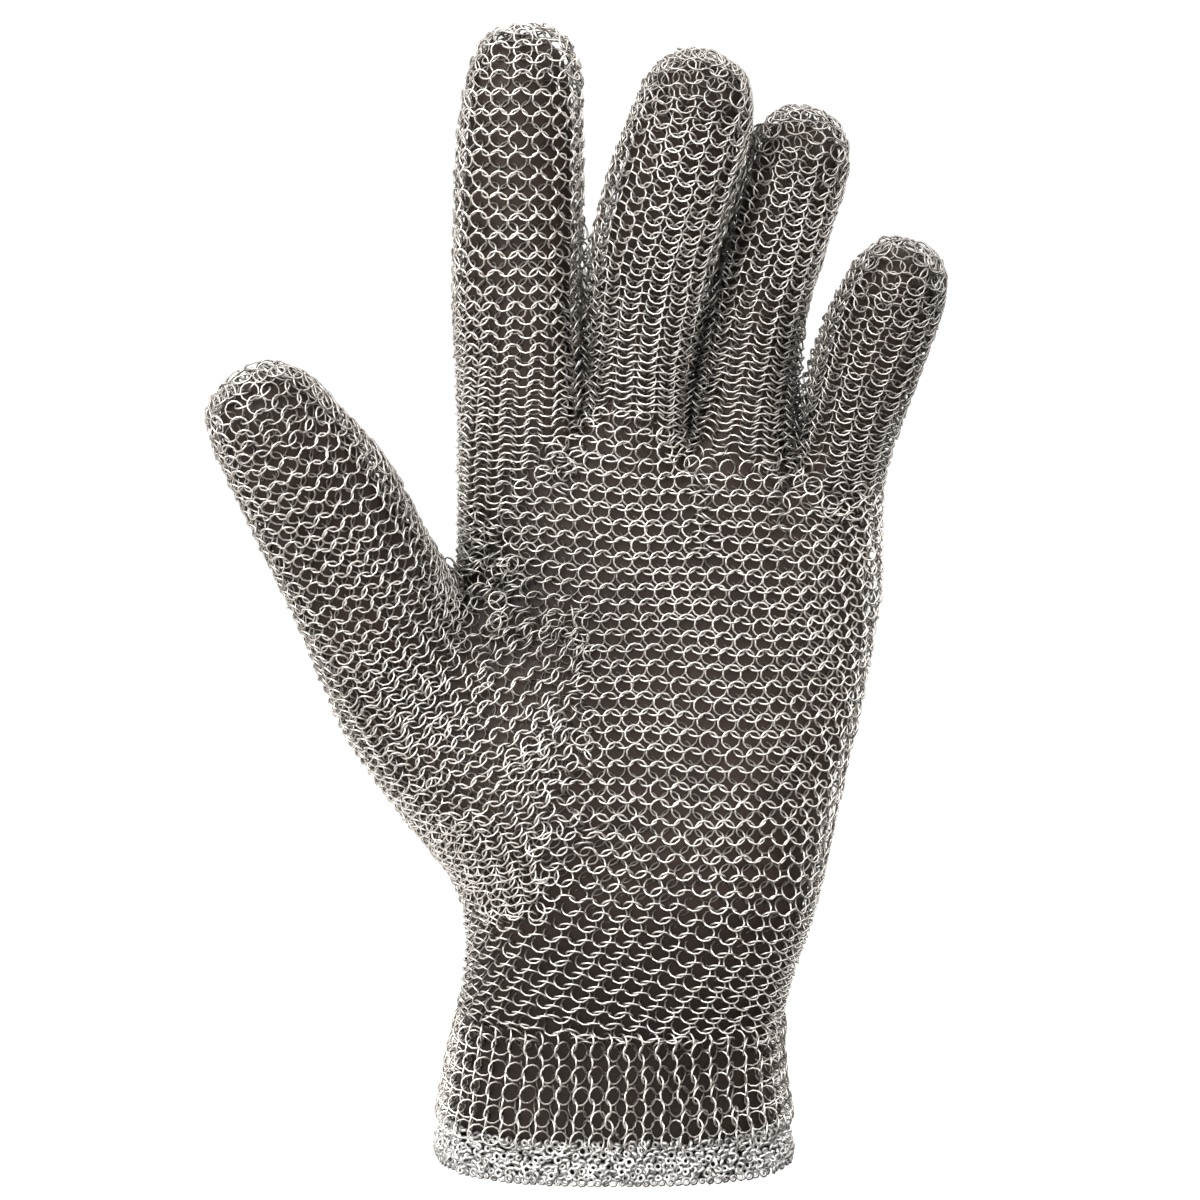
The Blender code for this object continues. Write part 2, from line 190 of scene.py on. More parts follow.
# The paths of the sweeps. Each row has the origin x, y, z and the normal of the plane, then
# the weave there: the distance between two rows that lean alike, the distance between rings
# in a row, the rings' radius, how steeply the rows that lean upwards and downwards stand off
# the surface, in degrees, how much wider than the mean the rings stand apart at the front,
# and the direction round the plane, in degrees from the palm side, at which the rings are
# counted from.
PLACE_COLUMNS = ("x", "y", "z")
NORMAL_COLUMNS = ("nx", "ny", "nz")
WEAVE_COLUMNS = ("row", "pitch", "radius", "up", "down", "wide", "start")
SWEEPS = {
    "hand": (
        (0.0, -1.0, 32.3, 0.07, -0.05, 1.0, 2.5, 4.95, 2.00, 58.0, 50.0, 0.0, 22.0),
        (4.0, -2.0, 46.0, 0.10, -0.05, 1.0, 2.55, 4.95, 2.00, 56.0, 47.0, 0.0, 36.0),
        (6.0, -3.0, 56.0, 0.10, -0.05, 1.0, 2.90, 4.90, 2.00, 50.0, 42.0, 0.0, 45.0),
        (7.0, -3.0, 67.0, 0.08, -0.05, 1.0, 3.40, 4.70, 2.00, 32.0, 32.0, 0.0, 50.0),
        (8.0, -2.5, 77.0, 0.05, -0.05, 1.0, 3.55, 4.45, 2.00, 22.0, 30.0, 0.0, 52.0),
        (9.0, -2.0, 88.0, 0.04, -0.05, 1.0, 3.50, 4.20, 1.96, 22.0, 40.0, 0.0, 50.0),
        (9.5, -1.0, 98.0, 0.03, -0.05, 1.0, 3.35, 4.00, 1.94, 22.0, 46.0, 0.0, 48.0),
        (10.0, 0.0, 109.0, 0.03, -0.05, 1.0, 3.25, 3.86, 1.95, 22.0, 50.0, 0.0, 45.5),
        (11.0, 4.5, 130.0, 0.04, -0.05, 1.0, 3.25, 3.82, 1.94, 22.0, 50.0, 0.0, 37.0),
        (11.0, 7.5, 150.0, 0.05, -0.05, 1.0, 3.10, 3.65, 1.88, 23.0, 50.0, 0.0, 33.0),
        (11.0, 8.0, 168.0, 0.05, -0.05, 1.0, 3.10, 3.65, 1.88, 23.0, 50.0, 0.0, 33.0),
    ),
    "index": (
        (-23.0, 5.5, 127.0, 0.00, 0.05, 1.0, 1.80, 4.1, 2.00, 38.0, 54.0, 0.30, 0.0),
        (-22.5, 7.0, 134.0, 0.00, 0.05, 1.0, 1.75, 4.1, 2.00, 38.0, 54.0, 0.30, 0.0),
        (-22.0, 9.0, 150.0, 0.00, 0.05, 1.0, 1.75, 4.1, 2.00, 38.0, 54.0, 0.30, 0.0),
        (-21.3, 9.8, 162.0, 0.01, 0.06, 1.0, 1.95, 4.1, 2.00, 36.0, 52.0, 0.26, 0.0),
        (-20.8, 10.5, 172.0, 0.02, 0.08, 1.0, 2.70, 4.1, 2.00, 30.0, 40.0, 0.16, 0.0),
        (-20.5, 11.5, 183.0, 0.02, 0.08, 1.0, 3.55, 4.1, 2.02, 27.0, 38.0, 0.05, 0.0),
        (-20.2, 12.5, 193.0, 0.02, 0.08, 1.0, 4.00, 4.1, 2.03, 24.0, 36.0, 0.0, 0.0),
        (-19.9, 13.5, 204.0, 0.02, 0.08, 1.0, 4.20, 4.1, 2.05, 23.0, 35.0, 0.0, 0.0),
        (-19.4, 15.0, 227.4, 0.02, 0.08, 1.0, 4.20, 4.1, 2.05, 23.0, 35.0, 0.0, 0.0),
    ),
    "thumb": (
        (-12.0, -5.0, 30.0, -0.42, -0.45, 0.80, 2.0, 4.1, 2.00, 44.0, 38.0, 0.0, 0.0),
        (-20.0, -7.0, 58.0, -0.46, -0.50, 0.78, 2.0, 4.1, 2.00, 44.0, 38.0, 0.0, 0.0),
        (-26.0, -8.0, 80.0, -0.46, -0.52, 0.75, 2.0, 4.1, 2.00, 42.0, 38.0, 0.0, 0.0),
        (-38.0, -9.0, 104.0, -0.42, -0.52, 0.75, 2.35, 4.2, 2.00, 34.0, 42.0, 0.0, 0.0),
        (-50.5, -11.0, 125.0, -0.42, -0.50, 0.74, 2.9, 4.2, 1.97, 26.0, 48.0, 0.0, 0.0),
        (-70.4, -21.0, 159.8, -0.44, -0.42, 0.78, 3.4, 4.2, 1.97, 22.0, 50.0, 0.0, 0.0),
    ),
    "web": (
        (-24.0, -4.0, 88.0, -0.50, -0.40, 0.80, 2.7, 4.1, 1.95, 30.0, 44.0, 0.0, 0.0),
        (-25.5, -1.0, 110.0, -0.52, -0.32, 0.82, 2.5, 4.0, 1.95, 34.0, 46.0, 0.0, 0.0),
        (-25.0, 3.0, 136.0, -0.45, -0.20, 0.88, 2.2, 4.0, 1.95, 38.0, 48.0, 0.0, 0.0),
    ),
    "middle": (
        (1.0, 9.0, 143.0, 0.16, 0.02, 1.0, 1.75, 4.0, 1.98, 52.0, 44.0, 0.20, 0.0),
        (4.4, 9.5, 164.0, 0.14, -0.08, 1.0, 1.80, 4.0, 1.98, 52.0, 44.0, 0.20, 0.0),
        (5.0, 8.8, 172.0, 0.14, -0.12, 1.0, 1.90, 4.0, 1.98, 50.0, 42.0, 0.16, 0.0),
        (6.4, 6.8, 183.0, 0.16, -0.20, 1.0, 2.60, 4.0, 1.98, 42.0, 32.0, 0.08, 0.0),
        (7.9, 4.2, 193.0, 0.20, -0.28, 1.0, 3.10, 4.0, 2.00, 33.0, 20.0, 0.0, 0.0),
        (10.9, 0.2, 204.0, 0.26, -0.36, 1.0, 3.35, 4.0, 2.00, 30.0, 15.0, 0.0, 0.0),
        (16.8, -7.5, 224.0, 0.28, -0.38, 1.0, 3.10, 4.0, 2.00, 34.0, 18.0, 0.0, 0.0),
    ),
    "ring": (
        (22.5, 10.0, 140.0, 0.20, 0.05, 1.0, 1.75, 4.0, 1.95, 52.0, 44.0, 0.20, 0.0),
        (26.6, 11.0, 162.0, 0.20, 0.02, 1.0, 1.75, 4.0, 1.95, 52.0, 44.0, 0.20, 0.0),
        (28.6, 11.2, 172.0, 0.18, -0.03, 1.0, 1.95, 4.0, 1.95, 50.0, 42.0, 0.12, 0.0),
        (30.5, 11.1, 183.0, 0.20, -0.12, 1.0, 2.95, 4.0, 1.96, 38.0, 27.0, 0.05, 0.0),
        (33.0, 9.2, 193.0, 0.24, -0.22, 1.0, 3.10, 4.0, 1.98, 33.0, 18.0, 0.0, 0.0),
        (38.4, 3.5, 212.5, 0.29, -0.30, 1.0, 3.15, 4.0, 1.98, 32.0, 16.0, 0.0, 0.0),
    ),
    "little": (
        (44.0, 9.0, 136.0, 0.22, -0.20, 1.0, 2.00, 4.0, 1.92, 50.0, 42.0, 0.10, 0.0),
        (48.5, 7.0, 152.0, 0.26, -0.34, 1.0, 2.30, 4.0, 1.92, 46.0, 36.0, 0.06, 0.0),
        (51.0, 4.0, 162.0, 0.30, -0.42, 1.0, 2.80, 4.0, 1.94, 40.0, 28.0, 0.0, 0.0),
        (54.0, -0.5, 172.0, 0.32, -0.50, 1.0, 2.85, 4.0, 1.95, 35.0, 20.0, 0.0, 0.0),
        (58.7, -8.0, 186.8, 0.32, -0.50, 1.0, 3.00, 4.0, 1.95, 32.0, 16.0, 0.0, 0.0),
    ),
}
# The panels that a sweep's rings may lie on.
PANELS = {
    "hand": ("hand_mail",),
    "index": ("index_finger_mail", "thumb_mail"),
    "thumb": ("thumb_mail",),
    "web": ("thumb_mail",),
    "middle": ("middle_finger_mail",),
    "ring": ("ring_finger_mail",),
    "little": ("little_finger_mail",),
}
# For a digit: rings round it, the height over which that number holds, the radius of its
# rounded end over the lining, and how far from its axis its skin lies at most.
DIGIT_COLUMNS = ("rings", "steady_above", "end_radius", "most_reach")
DIGITS = {
    "thumb": (19, 122.0, 11.4, 60.0),
    "index": (17, 152.0, 10.6, 18.0),
    "middle": (16, 146.0, 10.2, 18.0),
    "ring": (15, 144.0, 9.2, 17.0),
    "little": (14, 142.0, 8.6, 17.0),
}
# Folds on the palm side, where the mail is gathered: x and z of both ends, and half width.
CREASES = (
    (17.0, 160.0, 19.5, 131.0, 2.1),
    (36.0, 155.0, 34.5, 131.0, 2.0),
    (38.0, 150.0, 48.0, 137.0, 3.0),
    (-6.0, 163.0, -11.0, 144.0, 2.0),
    (-8.0, 117.0, -6.0, 72.0, 1.4),
    (-31.0, 135.0, -22.0, 119.0, 6.5),
)
CREASE_TILT = math.radians(16.0)  # how much more steeply the rings stand in the deepest
# Where the mail of a sweep stands off the lining more or less than elsewhere: x, z, reach in
# x and in z, and how far.
SWELLS = {
    "hand": (
        (-35.0, 57.0, 8.0, 10.0, -1.2), (42.0, 52.0, 8.0, 12.0, 1.0),
        (56.0, 127.0, 8.0, 14.0, 1.0),
    ),
    "index": ((-32.0, 232.0, 8.0, 9.0, -1.2), (-8.0, 234.0, 6.0, 9.0, 1.1)),
    "middle": ((-2.0, 204.0, 6.0, 18.0, 1.4),),
    "little": ((45.5, 181.0, 6.0, 14.0, 1.3),),
    "thumb": (
        (-58.0, 92.0, 10.0, 16.0, 1.6), (-35.0, 57.0, 8.0, 10.0, -1.2),
        (-50.0, 150.0, 8.0, 12.0, 1.4), (-84.0, 163.0, 6.0, 6.0, 0.9),
    ),
}

# Cuff: the same weave turned a quarter round, so that its rows stand upright.
CUFF_LOW, CUFF_HIGH = 8.3, 31.0
CUFF_RINGS_LOW, CUFF_RINGS_HIGH = CUFF_LOW + 1.0, CUFF_HIGH + 0.4
CUFF_LINES_LOW, CUFF_LINES_HIGH = CUFF_LOW - 1.0, CUFF_HIGH + 2.0
CUFF_LINE_STEP = 0.5  # how close the lines are that are measured round the wrist
CUFF_ROWS = 106
CUFF_PITCH = 4.7
CUFF_RADIUS = 2.0
CUFF_TILTS = (math.radians(45.0), math.radians(56.0))  # of the two kinds of row
CUFF_LIFTS = (1.5, 0.5)  # at its lower and its upper edge
CUFF_LEAN = math.radians(4.0)
CUFF_WAVE = 0.18  # how far the upright rows wander, in shares of the space between two
CUFF_SHINE = 1.05
WRIST_MIDDLE_Y = -0.5

# Hem: dense small rings of thick wire, in rows that tumble more away from the lower edge.
HEM_LOW, HEM_HIGH = 0.85, 9.2
HEM_LEAST_LINE = 3.2  # the lowest line that is measured round the wrist
HEM_RADIUS = 0.70
HEM_WIRE = 0.38
HEM_SEGMENTS = 7
HEM_ROW = 1.1
HEM_PITCH = 1.62
HEM_STAND = 1.25
HEM_FLARE = 1.6  # how much further out the lower edge stands
HEM_EDGE = 1.5  # rows under this height are calmer, by this much
HEM_EDGE_CALM = 0.35
# Spread of a hem ring's place along its row, height, tilt, roll, distance out and size
HEM_PLACE_JITTER = 0.14
HEM_HEIGHT_JITTER = 0.25
HEM_TILT_JITTER = 0.75
HEM_ROLL_JITTER = 0.55
HEM_STAND_JITTER = 0.18
HEM_SIZE_JITTER = 0.16
HEM_SHINE = (0.36, 0.9)
HEM_FOOT_PAINTED_LIGHT = 0.4  # share of that at the very foot, where it is darker as painted shade, and its rise per millimetre
HEM_PAINTED_LIGHT_RISE = 0.16

# Where the lining is darker, as painted shade at the wrist and in the thumb's crotch: from and to
# which height or distance from the thumb's crotch, in metres, and its share of the brightness
# there.
WRIST_SHADE = (0.036, 0.066, 0.5)
CROTCH = (-0.026, -0.002, 0.124)
CROTCH_SHADE = (0.007, 0.020, 0.4)

UP = Vector((0.0, 0.0, 1.0))
PALMWARDS = Vector((0.0, -1.0, 0.0))

Spot = namedtuple("Spot", "here tangent across parity pitch radius tilt jitter tip aside row")
Ring = namedtuple("Ring", "centre row rise radius place normal bright")


# ---- the surface


def outer_shell():
    """The lining's outer face as one open surface, in millimetres."""
    bm = bmesh.new()
    bm.from_mesh(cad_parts["lining"].data)
    bmesh.ops.scale(bm, vec=(1 / MM,) * 3, verts=bm.verts)
    bmesh.ops.remove_doubles(bm, verts=bm.verts, dist=MERGE_DISTANCE)
    foot = min(v.co.z for v in bm.verts)
    rim = [f for f in bm.faces if max(v.co.z for v in f.verts) < foot + RIM_HEIGHT]
    bmesh.ops.delete(bm, geom=rim, context="FACES_ONLY")
    # Without its rim, the wall falls into two shells, and the highest point is on the outer.
    top = max(bm.verts, key=lambda v: v.co.z)
    reached, front = {top}, [top]
    while front:
        vertex = front.pop()
        for edge in vertex.link_edges:
            other = edge.other_vert(vertex)
            if edge.link_faces and other not in reached:
                reached.add(other)
                front.append(other)
    inner = [v for v in bm.verts if v not in reached]
    bmesh.ops.delete(bm, geom=inner, context="VERTS")
    bmesh.ops.join_triangles(
        bm, faces=bm.faces, angle_face_threshold=math.pi, angle_shape_threshold=math.pi
    )
    bmesh.ops.recalc_face_normals(bm, faces=bm.faces)
    return bm


def linked_object(name, data):
    piece = bpy.data.objects.new(name, data)
    bpy.context.scene.collection.objects.link(piece)
    return piece


def smoothed_guide(bm, name, levels):
    """An object of this mesh under a subdivision modifier, to read smooth shapes from."""
    mesh = bpy.data.meshes.new(name)
    bm.to_mesh(mesh)
    piece = linked_object(name, mesh)
    rounding = piece.modifiers.new("rounding", "SUBSURF")
    rounding.levels = rounding.render_levels = levels
    return piece


def evaluated_mesh(piece):
    evaluated = piece.evaluated_get(bpy.context.evaluated_depsgraph_get())
    return bpy.data.meshes.new_from_object(evaluated)


class Skin:
    """A smooth surface that rays and nearest points are found on."""

    def __init__(self, mesh):
        mesh.calc_loop_triangles()
        self.points = [v.co.copy() for v in mesh.vertices]
        self.normals = [v.normal.copy() for v in mesh.vertices]
        self.triangles = [tuple(t.vertices) for t in mesh.loop_triangles]
        self.tree = BVHTree.FromPolygons(self.points, self.triangles, all_triangles=True)

    def nearest(self, point):
        """The nearest place on the surface and the smooth normal there."""
        place, _, index, _ = self.tree.find_nearest(point)
        corners = self.triangles[index]
        points = [self.points[i] for i in corners]
        normals = [self.normals[i] for i in corners]
        return place, barycentric_transform(place, *points, *normals).normalized()

    def hit(self, origin, direction):
        return self.tree.ray_cast(origin, direction)[0]

    def lift(self, place, normal):
        """How much higher mail stands here because another digit lies close in front of it."""
        start = 1.0  # the ray starts this far off, so as not to hit the place itself
        distance = self.tree.ray_cast(place + normal * start, normal, MEETING_REACH)[3]
        if distance is None:
            return 0.0
        rise = max(0.5 * (distance + start) - RING_STAND, 0.0)
        return min(rise, MOST_LIFT * min(1.0, (MEETING_REACH - distance) / LIFT_FALL))

    def centres(self):
        """The middle of each triangle and the mean of the normals at its corners."""
        for corners in self.triangles:
            middle = sum((self.points[i] for i in corners), Vector()) / 3
            yield middle, sum((self.normals[i] for i in corners), Vector()).normalized()


def mail_walls():
    """One tree of all the CAD mail walls, and the node of each of its triangles."""
    points, triangles, owners = [], [], []
    for name in MAIL_NODES:
        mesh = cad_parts[name].data
        mesh.calc_loop_triangles()
        first = len(points)
        points += [v.co / MM for v in mesh.vertices]
        triangles += [tuple(first + i for i in t.vertices) for t in mesh.loop_triangles]
        owners += [name] * len(mesh.loop_triangles)
    return BVHTree.FromPolygons(points, triangles, all_triangles=True), owners


# ---- the sweeps


def clamp(value, low=0.0, high=1.0):
    return min(max(value, low), high)


def eased_columns(rows, names, positions, at):
    """Values of a table's columns between its rows, eased so that they have no corners."""
    span = positions[-1] - positions[0]
    width = max(3, int(PATH_SAMPLES * PATH_EASE / span) | 1)
    half = width // 2
    fine = np.linspace(positions[0], positions[-1], PATH_SAMPLES)
    columns = []
    for name in names:
        line = np.interp(fine, positions, [row[name] for row in rows])
        padded = np.concatenate([
            2 * line[0] - line[1:half + 1][::-1],
            line,
            2 * line[-1] - line[-half - 1:-1][::-1],
        ])
        line = np.convolve(padded, np.ones(width) / width, "valid")[:PATH_SAMPLES]
        columns.append(np.interp(at, fine, line))
    return np.array(columns).T


def digit_facts(name):
    """The facts of a digit that a sweep goes along, or None where it goes along none."""
    return dict(zip(DIGIT_COLUMNS, DIGITS[name])) if name in DIGITS else None


def sweep(skin, name):
    """Grid of points on the surface, one row for each plane, and what the table says there."""
    columns = PLACE_COLUMNS + NORMAL_COLUMNS + WEAVE_COLUMNS
    rows = [dict(zip(columns, row)) for row in SWEEPS[name]]
    origins = np.array([[row[column] for column in PLACE_COLUMNS] for row in rows])
    lengths = np.linalg.norm(np.diff(origins, axis=0), axis=1)
    positions = np.concatenate([[0.0], np.cumsum(lengths)])
    length = positions[-1]
    digit = digit_facts(name)
    end_radius = digit["end_radius"] if digit else 0.0
    most_reach = digit["most_reach"] if digit else MOST_REACH
    straight = np.arange(0.0, length, SWEEP_STEP)
    bend = np.arange(0.0, end_radius * math.pi / 2, SWEEP_STEP)
    along = np.concatenate([straight, length + bend])
    capped = np.minimum(along, length)
    origin = eased_columns(rows, PLACE_COLUMNS, positions, capped)
    normal = eased_columns(rows, NORMAL_COLUMNS, positions, capped)
    weave = eased_columns(rows, WEAVE_COLUMNS, positions, capped)
    angles = np.linspace(0.0, 2 * math.pi, SWEEP_ANGLES, endpoint=False)
    grid = np.zeros((len(along), SWEEP_ANGLES, 3))
    for v, position in enumerate(along):
        axis = Vector(normal[v]).normalized()
        front = (PALMWARDS - axis * PALMWARDS.dot(axis)).normalized()
        side = axis.cross(front)
        turn = max(0.0, position - length) / end_radius if end_radius else 0.0
        centre = Vector(origin[v])
        reach = FIRST_REACH
        for u, angle in enumerate(angles):
            radial = front * math.cos(angle) + side * math.sin(angle)
            direction = radial * math.cos(turn) + axis * math.sin(turn)
            hit = skin.hit(centre, direction)
            if hit is None or (hit - centre).length > most_reach:
                hit = centre + direction * min(reach, most_reach)
            reach = (hit - centre).length
            grid[v, u] = hit
    return along, grid, weave, origin


def ring_line(along, grid, position):
    """The closed line of grid points at this distance along the sweep."""
    v = clamp(np.searchsorted(along, position) - 1, 0, len(along) - 2)
    share = clamp((position - along[v]) / (along[v + 1] - along[v]))
    line = grid[v] * (1.0 - share) + grid[v + 1] * share
    return (np.roll(line, 1, axis=0) + 2 * line + np.roll(line, -1, axis=0)) / 4


def measured(line):
    """A closed line with its first point again at its end, and the length up to each point."""
    loop = np.vstack([line, line[:1]])
    return loop, np.concatenate([[0.0], np.cumsum(np.linalg.norm(np.diff(loop, axis=0), axis=1))])


def slow_waves(near, position):
    """How far slow waves move a ring along its row, and along the sweep.

    It stands this near to the first ring of its row, and the row this far along the sweep.
    """
    along_row = math.sin(0.21 * near + 0.13 * position + 1.7 * math.sin(0.05 * near))
    along_sweep = math.sin(0.17 * near - 0.11 * position)
    return WARP_HEIGHT * along_row, WARP_HEIGHT * along_sweep


def row_tilt(weave, parity, facing):
    """A ring's tilt: that of its kind of row before and behind, and evened out at the sides."""
    loose = clamp((weave["row"] - CLOSE_ROW) / (LOOSE_ROW - CLOSE_ROW))
    level = (weave["up"] + weave["down"]) / 2 * (1.0 - loose) + LOOSE_TILT * loose
    return level + ((weave["down"] if parity else weave["up"]) - level) * facing


def lattice(along, grid, weaves, origin, name):
    """Ring places of one sweep, row by row."""
    digit = digit_facts(name)
    end = along[-1]
    length = end - digit["end_radius"] * math.pi / 2 if digit else end
    last = length + (end - length) * LAST_ROW_SHARE if digit else end
    steps = np.arange(SWEEP_ANGLES + 1)
    spots = []
    position, parity = 0.0, 0
    while position < last:
        weave = {
            column: float(np.interp(position, along, weaves[:, c]))
            for c, column in enumerate(WEAVE_COLUMNS)
        }
        step = weave["row"] / 2 * (TIP_CLOSENESS if digit and position > length else 1.0)
        on_tip = bool(digit) and position > length + 1.0
        line = ring_line(along, grid, position)
        above = ring_line(along, grid, position + step / 2)
        below = ring_line(along, grid, position - step / 2)
        _, arcs = measured(line)
        total = arcs[-1]
        count = max(3, int(round(total / weave["pitch"])))
        if digit and np.interp(position, along, origin[:, 2]) > digit["steady_above"]:
            count = min(digit["rings"], count) if on_tip else digit["rings"]
        start_arc = np.interp(weave["start"] / 360.0 * SWEEP_ANGLES, steps, arcs)
        for i in range(count):
            turn = (i + 0.5 * parity) / count
            turn += weave["wide"] * math.sin(4 * math.pi * turn) / (4 * math.pi)
            near = min(turn, 1.0 - turn) * total * (1 if turn < 0.5 else -1)
            slide, shift = slow_waves(near, position)
            arc = start_arc + turn * total + slide
            angle = np.interp(arc % total, arcs, steps)
            u, share = int(angle) % SWEEP_ANGLES, angle - int(angle)
            here, up, down = (
                closed[u] * (1 - share) + closed[(u + 1) % SWEEP_ANGLES] * share
                for closed in (line, above, below)
            )
            across = up - down
            gap = np.linalg.norm(across)
            if gap > 1e-6:
                here = here + across / gap * shift
            tangent = line[(u + 2) % SWEEP_ANGLES] - line[(u - 1) % SWEEP_ANGLES]
            facing = abs(math.cos(2 * math.pi * angle / SWEEP_ANGLES))
            facing = min(SIDE_SOFTNESS * facing, 1.0)
            spots.append(Spot(
                Vector(here), Vector(tangent), Vector(across), parity, total / count,
                weave["radius"], math.radians(row_tilt(weave, parity, facing)),
                TIP_JITTER if on_tip else SWEEP_JITTER.get(name, 1.0), on_tip,
                (1.0 - facing) if digit else 0.0, weave["row"],
            ))
        position += step
        parity = 1 - parity
    if digit:
        spots.append(Spot(
            Vector(grid[-1].mean(axis=0)), Vector((1.0, 0.0, 0.0)), PALMWARDS, 0, CROWN_PITCH,
            weave["radius"], CROWN_TILT, 1.0, True, 0.0, weave["row"],
        ))
    return spots


# ---- the rings


def wander(distance, pace, drift):
    """How far a border strays at this distance along it, in waves that aren't all alike."""
    uneven = BORDER_UNEVENNESS * math.sin(drift * distance)
    return BORDER_WAVE * math.sin(pace * distance + uneven)


def panel_at(walls, point, allowed, front):
    """The allowed panel that a point stands over, or close beside, and if it is by a border."""
    tree, owners = walls
    up, across = BORDER_PACES
    shift = Vector((wander(point.z, *up), 0.0, wander(point.x, *across)))
    if front and point.z >= PALM_MIDDLE:
        if point.x > PALM_LEFT:
            shift.z -= clamp(PALM_RAISE - PALM_RAISE_FALL * point.x, 0.0, PALM_RAISE)
        else:
            gap = (point.z - PALM_SPREAD_MIDDLE) / PALM_SPREAD_HALF
            shift.x += PALM_SPREAD * math.exp(-(gap ** 2))
    point = point + shift
    nearest = owners[tree.find_nearest(point)[2]]
    near = [owners[hit[2]] for hit in tree.find_nearest_range(point, SEAM_REACH)]
    for name in (nearest, *near):
        if name in allowed:
            return name, len(set(near)) > 1
    return None, False


def crease_at(point):
    """How deep in a fold a place on the palm side lies, from 0 to 1."""
    deepest = 0.0
    for x0, z0, x1, z1, width in CREASES:
        ax, az = x1 - x0, z1 - z0
        share = clamp(((point.x - x0) * ax + (point.z - z0) * az) / (ax * ax + az * az))
        gap = math.hypot(point.x - x0 - share * ax, point.z - z0 - share * az)
        deepest = max(deepest, math.exp(-((gap / width) ** 2)))
    return deepest


def painted_light_at(point, normal, name):
    """How much brighter or darker than elsewhere the wire is, as painted light and shade."""
    front = max(0.0, -normal.y)
    factor = 1.0
    for x, z, reach, gain in PAINTED_LIGHT_PATCHES:
        gap = math.hypot(point.x - x, point.z - z)
        factor += front * gain * math.exp(-((gap / reach) ** 2))
    side, loss = SHADED_SIDES.get(name, SHADED_SIDE)
    factor -= loss * normal.dot(side)
    return max(factor, LEAST_PAINTED_LIGHT)


def swell_at(point, name):
    """How much further off the lining than elsewhere a sweep's mail stands here."""
    return sum(
        rise * math.exp(-(((point.x - x) / across) ** 2) - ((point.z - z) / along) ** 2)
        for x, z, across, along, rise in SWELLS.get(name, ())
    )


def stand_ring(
    place, normal, tangent, across, radius, tilt, upward, lean, jitter, lift=0.0, bright=1.0
):
    """A ring over a place, with its row along the tangent, tilted up or down about it."""
    row = (tangent - normal * tangent.dot(normal)).normalized()
    over = normal.cross(row)
    if over.dot(across) < 0:
        over = -over
    turn = rng.normal(0.0, YAW_JITTER * jitter)
    row, over = (
        row * math.cos(turn) + over * math.sin(turn),
        over * math.cos(turn) - row * math.sin(turn),
    )
    tilt += rng.normal(0.0, TILT_JITTER * jitter)
    lean += rng.normal(0.0, ROLL_JITTER * jitter)
    rise = over * math.cos(tilt) + normal * (upward * math.sin(tilt))
    hub = row.cross(rise).normalized()
    if hub.dot(normal) < 0:
        hub = -hub
    row = row * math.cos(lean) - hub * math.sin(lean)
    stand = max(RING_STAND + lift - TILT_SINK * radius * math.sin(abs(tilt)), LEAST_STAND)
    offset = rng.normal(0.0, PLACE_JITTER * jitter, 3)
    centre = place + normal * (stand + offset[2]) + row * offset[0] + over * offset[1]
    return Ring(centre, row, rise, radius, place, normal, bright)


def brightness(name, spot, place, normal, by_border, fold, lift):
    """How bright the wire of a sweep's ring is, with painted shade and painted light."""
    shade = max(CREASE_SHADE * fold, LIFT_SHADE * min(1.0, LIFT_SHADE_RISE * lift))
    bright = (1.0 - shade) * SWEEP_PAINTED_LIGHT[name] * (BORDER_SHINE if by_border else 1.0)
    bright *= (TIP_PAINTED_LIGHT if spot.tip else 1.0) * (1.0 - SIDE_PAINTED_SHADE * spot.aside)
    return bright * painted_light_at(place, normal, name)


def second_ring(spot, footing, normal, side, jitter, fold, lift, on_side):
    """The ring under another, leaning the other way and standing further up the sweep."""
    # second rings are darker, as painted shade under the rings over them
    bright = SIDE_FILLER_PAINTED_LIGHT if on_side else FILLER_PAINTED_LIGHT + FILLER_FOLD_PAINTED_LIGHT * fold
    return stand_ring(
        footing + (SIDE_FILLER_SHIFT if on_side else FILLER_SHIFT) * spot.across, normal,
        spot.tangent, spot.across, spot.radius, spot.tilt if on_side else STEEPEST, -side, 0.0,
        (1 if on_side else 2) * jitter, FILLER_SINK * lift, bright,
    )


def ring_frames(skin, walls, name, spots, placed):
    """Rings of a sweep on its panels, clear of the rings that other sweeps have placed."""
    taken = KDTree(len(placed))
    for i, centre in enumerate(placed):
        taken.insert(centre, i)
    taken.balance()
    clearance = SEAM_CLEARANCES.get(name, SEAM_CLEARANCE)
    found = []
    for spot in spots:
        place, normal = skin.nearest(spot.here)
        if (place - spot.here).length > MOST_STRAY:
            continue
        over = place + normal * MAIL_MIDDLE
        panel, by_border = panel_at(walls, over, PANELS[name], normal.y < 0)
        if panel is None:
            continue
        fold = crease_at(place) * max(0.0, -normal.y)
        lift = skin.lift(place, normal)
        footing = place + normal * swell_at(place, name)
        jitter = spot.jitter * (BORDER_JITTER if by_border else 1.0) + CREASE_JITTER * fold
        overlap = 2 * (spot.radius + WIRE_RADIUS) - spot.pitch
        lean = math.radians(clamp(LEAST_LEAN + LEAN_GROWTH * overlap, LEAST_LEAN, MOST_LEAN))
        lean *= max(0.0, math.cos(LEAN_FADE * spot.tilt))
        side = -1.0 if spot.parity else 1.0
        tilt = min(spot.tilt + CREASE_TILT * fold, STEEPEST)
        bright = brightness(name, spot, place, normal, by_border, fold, lift)
        ring = stand_ring(
            footing, normal, spot.tangent, spot.across, spot.radius, tilt, side, lean * side,
            jitter, lift, bright,
        )
        if placed and taken.find(ring.centre)[2] < clearance:
            continue
        found.append((panel, ring))
        on_side = spot.aside > FILLER_SIDE and spot.row > FILLER_ROW
        if lift > FILLER_LIFT or fold > FILLER_FOLD or on_side:
            under = second_ring(spot, footing, normal, side, jitter, fold, lift, on_side)
            found.append((panel, under))
    return found


